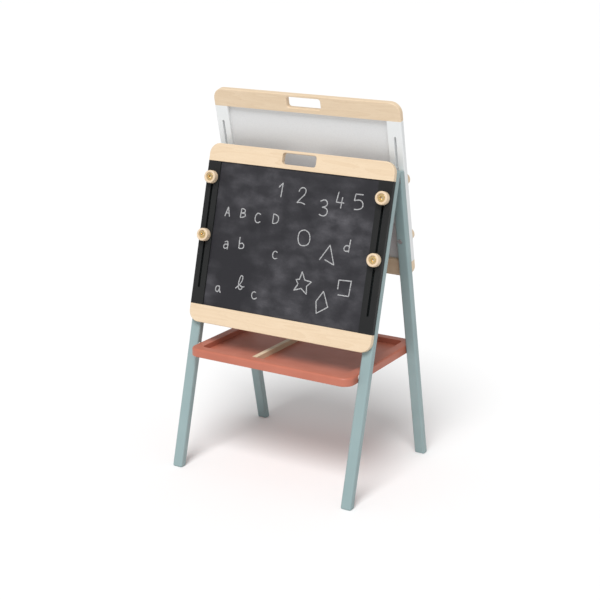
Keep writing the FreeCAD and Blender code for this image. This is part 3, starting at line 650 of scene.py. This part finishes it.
def chalk_tree():
    """Run a flat oval along each stroke, with a shaky hand and chalk that widens and thins."""
    tree, given = new_geometry("chalk_stroke", ["Width", "Height", "Step", "Shake"])
    inputs = {"Curve": given["Source"], "Length": given["Step"]}
    fine = node(tree, "GeometryNodeResampleCurve", inputs, mode="LENGTH")
    place = node(tree, "GeometryNodeInputPosition")
    sway = noise(tree, place, 130.0, 2.0, 1)
    centred = node(tree, "ShaderNodeVectorMath", {0: sway, 1: (0.5, 0.5, 0.5)}, operation="SUBTRACT")
    reach = vector(tree, given["Shake"], given["Shake"])
    offset = node(tree, "ShaderNodeVectorMath", {0: centred, 1: reach}, operation="MULTIPLY")
    shaken = node(tree, "GeometryNodeSetPosition", {"Geometry": fine, "Offset": offset})
    upright = node(tree, "GeometryNodeSetCurveNormal", {"Curve": shaken}, mode="Z_UP")
    ring = node(tree, "GeometryNodeCurvePrimitiveCircle", {"Resolution": 8, "Radius": 0.5})
    inputs = {"Geometry": ring, "Scale": vector(tree, given["Width"], given["Height"], 1.0)}
    oval = node(tree, "GeometryNodeTransform", inputs)
    pressure = between(tree, noise(tree, place, 320.0, 2.0), 0.3, 0.7, 0.60, 1.12)
    inputs = {"Curve": upright, "Profile Curve": oval, "Scale": pressure, "Fill Caps": True}
    hand_out(tree, given, node(tree, "GeometryNodeCurveToMesh", inputs))
    return tree


def stroke_curves():
    """Every mark's strokes as flat splines, x right of the board's middle and y down from its top."""
    data = bpy.data.curves.new("strokes", "CURVE")
    data.dimensions = "3D"
    for right, below, size, strokes in MARKS.values():
        for kind, points in strokes:
            spline = data.splines.new(kind)
            spline.points.add(len(points) - 1)
            for point, (x, y) in zip(spline.points, points):
                point.co = ((right + x * size) / 1000, (y * size - below) / 1000, 0, 1)
            if kind == ROUND:
                spline.order_u = 3
                spline.use_endpoint_u = True
                spline.resolution_u = 12
    return data


def chalk():
    """Dry chalk: pale where it caught the panel's tooth, thin and dark where it skipped."""
    material, tree = new_material("chalk")
    tooth = noise(tree, stretched(tree, (850, 850, 850)), 1.0, 3.0)
    share = between(tree, tooth, 0.36, 0.56)
    colour = mixed(tree, share, CHALK_THIN, CHALK_WHITE)
    rough = between(tree, tooth, 0.3, 0.7, 0.86, 0.96)
    close_material(tree, colour, rough, bumped(tree, tooth, 0.4, 0.0003))
    return material


def farthest(name, way):
    """How far a CAD piece reaches from the apex along a direction."""
    return max((vert.co - apex).dot(way) for vert in frame["nodes"][name].data.vertices)


board_top = farthest("chalkboard_top_rail", up_leg["front"])
panel_face = farthest("chalkboard_panel", outward["front"]) + HEIGHT_OFF_PANEL
corner = apex + up_leg["front"] * board_top + outward["front"] * panel_face
turn = Matrix((Vector((1, 0, 0)), up_leg["front"], outward["front"])).transposed().to_4x4()
stroke_sizes = {"Width": STROKE_WIDTH, "Height": STROKE_HEIGHT, "Step": STROKE_STEP, "Shake": HAND_SHAKE}
piece = grown("chalk_drawings", chalk_tree(), stroke_curves(), stroke_sizes, chalk(),
              Matrix.Translation(corner) @ turn)
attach(piece, "chalkboard")

# Whiteboard panel: hardboard with a glossy dry-wipe face on the outside and a plain matt white back, let
# into the groove of the rails and stiles. The back is coloured a darker grey than the face, as painted shade
# for the board's inner side. A faint grey ghost of wiped pens is left on the face.
DRY_WIPE = (0.800, 0.812, 0.822, 1)
PEN_GHOST = (0.700, 0.725, 0.755, 1)
# The back's two greys are painted shade: darker than the face's white, mottled by the hardboard's fibre.
BACK_IN_PAINTED_SHADE = (0.630, 0.637, 0.641, 1)
BACK_FIBRE_IN_PAINTED_SHADE = (0.690, 0.697, 0.703, 1)


def dry_wipe():
    material, tree = new_material("dry_wipe")
    facing = node(tree, "ShaderNodeTexCoord", out=1)
    inputs = {0: facing, 1: tuple(outward["rear"])}
    face = node(tree, "ShaderNodeVectorMath", inputs, 1, operation="DOT_PRODUCT")
    on_face = between(tree, face, 0.4, 0.6)
    wipes = noise(tree, stretched(tree, (6, 30, 22), lean["rear"]), 1.0, 4.0)
    ghost = between(tree, wipes, 0.5, 0.8, 0.0, 0.6)
    fibre = noise(tree, stretched(tree, (500, 500, 500)), 1.0, 3.0)
    # The back's colour is painted shade on the board's inner side, with the fibre's real mottle in it.
    shaded_back = mixed(tree, between(tree, fibre, 0.3, 0.7), BACK_IN_PAINTED_SHADE, BACK_FIBRE_IN_PAINTED_SHADE)
    colour = mixed(tree, on_face, shaded_back, mixed(tree, ghost, DRY_WIPE, PEN_GHOST))
    shine = between(tree, on_face, 0, 1, 0.62, 0.13)
    close_material(tree, colour, shine, bumped(tree, fibre, 0.06, 0.0002))
    return material


coat("whiteboard_panel", dry_wipe())

# Knobs: turned beech drums with a softened rim and a shallow dish, one on each clamp bolt. The grain runs
# down the bolt, so the face shows end grain and the sides show lines.
KNOB_BORE = 0.00605
KNOB_RADIUS = 0.0175
KNOB_HEIGHT = 0.0170
KNOB_FLOOR = 0.0140
KNOB_DISH = 0.0115
TURNING_LINE = 0.0004
TURNING_LINE_DROPS = (0.0062, 0.0082)
LATHE_STEPS = 96
CORNER_STEPS = 6


def eased(corners):
    """A closed outline of (radius, height) points whose corners are rounded by each one's third value."""
    outline = []
    for index, (x, y, size) in enumerate(corners):
        here = Vector((x, y))
        before = Vector(corners[index - 1][:2]) - here
        after = Vector(corners[(index + 1) % len(corners)][:2]) - here
        start = here + before.normalized() * size
        end = here + after.normalized() * size
        for step in range(CORNER_STEPS + 1):
            t = step / CORNER_STEPS
            outline.append(start * (1 - t) ** 2 + here * 2 * t * (1 - t) + end * t ** 2)
    return outline


def lathe(outline):
    """Turn a closed outline of (radius, height) points about Z into a closed shell."""
    shape = bmesh.new()
    rings = []
    for step in range(LATHE_STEPS):
        angle = 2 * math.pi * step / LATHE_STEPS
        spoke = Vector((math.cos(angle), math.sin(angle), 0))
        rings.append([shape.verts.new(spoke * point.x + Vector((0, 0, point.y))) for point in outline])
    for here, beside in zip(rings, rings[1:] + rings[:1]):
        for index in range(len(outline)):
            after = (index + 1) % len(outline)
            shape.faces.new((here[index], beside[index], beside[after], here[after]))
    bmesh.ops.remove_doubles(shape, verts=shape.verts, dist=1e-7)
    bmesh.ops.recalc_face_normals(shape, faces=shape.faces)
    mesh = bpy.data.meshes.new("turned")
    shape.to_mesh(mesh)
    shape.free()
    return mesh


def knob_outline():
    side = [(KNOB_RADIUS, 0, 0.0015)]
    for drop in reversed(TURNING_LINE_DROPS):
        middle = KNOB_HEIGHT - drop
        side.append((KNOB_RADIUS, middle - TURNING_LINE, 0.0001))
        side.append((KNOB_RADIUS - TURNING_LINE, middle, 0.0001))
        side.append((KNOB_RADIUS, middle + TURNING_LINE, 0.0001))
    dish = [(KNOB_DISH, KNOB_HEIGHT, 0.0010), (KNOB_DISH, KNOB_FLOOR, 0.0005),
            (KNOB_BORE, KNOB_FLOOR, 0.0002)]
    return eased([(KNOB_BORE, 0, 0.0002)] + side + [(KNOB_RADIUS, KNOB_HEIGHT, 0.0035)] + dish)


def clamp_stand(side, joint_name):
    """From a knob's own frame, with Z out along its bolt from the washer, to the easel's."""
    on_bolt = Vector(joints[joint_name]["pos_m"])
    seat = farthest(side + "_clamp_washers", outward[side])
    foot = on_bolt + outward[side] * (seat - (on_bolt - apex).dot(outward[side]))
    turn = side_stand(side).to_3x3().to_4x4() @ Matrix.Rotation(math.pi / 2, 4, "X")
    return Matrix.Translation(foot) @ turn


def knob_bodies():
    for side in ("front", "rear"):
        for level in ("upper", "lower"):
            for hand in ("left", "right"):
                yield side, "_".join((side, level, hand, "knob"))


turned_knob = lathe(knob_outline())
knob_beech = {side: beech("knob_beech_" + side, 1, 9, 210, 0.42, lean[side]) for side in ("front", "rear")}
for side, body in knob_bodies():
    mesh = turned_knob.copy()
    mesh.transform(clamp_stand(side, body + "_turn"))
    mesh.materials.append(knob_beech[side])
    piece = link_piece(body + "_turning", mesh)
    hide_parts(body)
    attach(piece, body)

# Knob inserts: flanged brass nuts pressed into the knobs, each with a hexagon key socket in the middle
# of the dish and a threaded bore that the clamp bolt's end shows in.
INSERT_BORE = 0.00305
INSERT_RADIUS = 0.0060
INSERT_FLANGE = 0.0100
INSERT_BACK = 0.0005
INSERT_TOP = KNOB_FLOOR + 0.0012
KEY_RADIUS = 0.00462
KEY_DEPTH = 0.0070
BRASS = (0.900, 0.680, 0.330, 1)
BRASS_DULL = (0.700, 0.480, 0.210, 1)


def insert_tree():
    tree, given = new_geometry("key_socket", ["Key radius", "Key depth", "Top"])
    double = number(tree, "MULTIPLY", given["Key depth"], 2.0)
    inputs = {"Vertices": 6, "Radius": given["Key radius"], "Depth": double}
    key = moved(tree, node(tree, "GeometryNodeMeshCylinder", inputs), vector(tree, z=given["Top"]))
    hand_out(tree, given, carved(tree, given["Source"], key))
    return tree


def plain_brass():
    """Turned brass: bright, with fine tool marks and brown tarnish in patches."""
    material, tree = new_material("plain_brass")
    tarnish = noise(tree, stretched(tree, (330, 330, 330)), 1.0, 3.0)
    marks = noise(tree, stretched(tree, (2600, 2600, 2600)), 1.0, 2.0)
    colour = mixed(tree, between(tree, tarnish, 0.42, 0.72), BRASS, BRASS_DULL)
    shine = between(tree, tarnish, 0.3, 0.7, 0.26, 0.44)
    close_material(tree, colour, shine, bumped(tree, marks, 0.12, 0.0001), Metallic=1.0)
    return material


brass = plain_brass()
insert_outline = eased([(INSERT_BORE, INSERT_BACK, 0.0001), (INSERT_RADIUS, INSERT_BACK, 0.0002),
                        (INSERT_RADIUS, KNOB_FLOOR, 0.0001), (INSERT_FLANGE, KNOB_FLOOR, 0.0001),
                        (INSERT_FLANGE, INSERT_TOP, 0.0004), (INSERT_BORE, INSERT_TOP, 0.0001)])
turned_insert = lathe(insert_outline)
key_socket = insert_tree()
key_sizes = {"Key radius": KEY_RADIUS, "Key depth": KEY_DEPTH, "Top": INSERT_TOP}
for side, body in knob_bodies():
    stand = clamp_stand(side, body + "_turn")
    piece = grown(body + "_brass", key_socket, turned_insert, key_sizes, brass, stand)
    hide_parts(body + "_insert")
    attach(piece, body)

# Tray: one thick routed board in satin terracotta, with a soft rim. It hangs between the legs on two front
# pins and two rear catches, and its beech divider is screwed up from below.
TERRACOTTA = (0.470, 0.148, 0.093, 1)
TERRACOTTA_DEEP = (0.425, 0.128, 0.079, 1)
TERRACOTTA_WORN = (0.520, 0.220, 0.150, 1)
coat("tray", paint("terracotta_paint", TERRACOTTA, TERRACOTTA_DEEP, TERRACOTTA_WORN, (8, 240, 240), 0.45))
coat("tray_divider", beech("divider_beech", 1, 3.0, 60))

# Tray hardware: a steel pin in each front leg turns in a nylon bush in the tray, past a nylon spacer. In
# each rear leg a brass barrel holds a steel ball that snaps into a dimpled strike in the tray's side.
NYLON = (0.800, 0.795, 0.760, 1)
NYLON_DEEP = (0.730, 0.725, 0.690, 1)


def moulded_nylon():
    material, tree = new_material("moulded_nylon")
    cloud = noise(tree, stretched(tree, (120, 120, 120)), 1.0)
    grain = noise(tree, stretched(tree, (2400, 2400, 2400)), 1.0, 2.0)
    colour = mixed(tree, between(tree, cloud, 0.35, 0.65), NYLON, NYLON_DEEP)
    close_material(tree, colour, between(tree, cloud, 0.3, 0.7, 0.42, 0.55), bumped(tree, grain, 0.2, 0.0001))
    return material


nylon = moulded_nylon()
for name, material in (("tray_pivot_pins", zinc), ("tray_pivot_bushes", nylon), ("tray_spacers", nylon),
                       ("tray_strikes", zinc), ("catch_barrels", brass), ("catch_balls", zinc)):
    coat(name, material)

# The looks stay within the imported model's box, and both boxes are gathered here.
boxes = {"cad": [list(corner) for corner in cad_box], "visual": [list(corner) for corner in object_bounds()]}
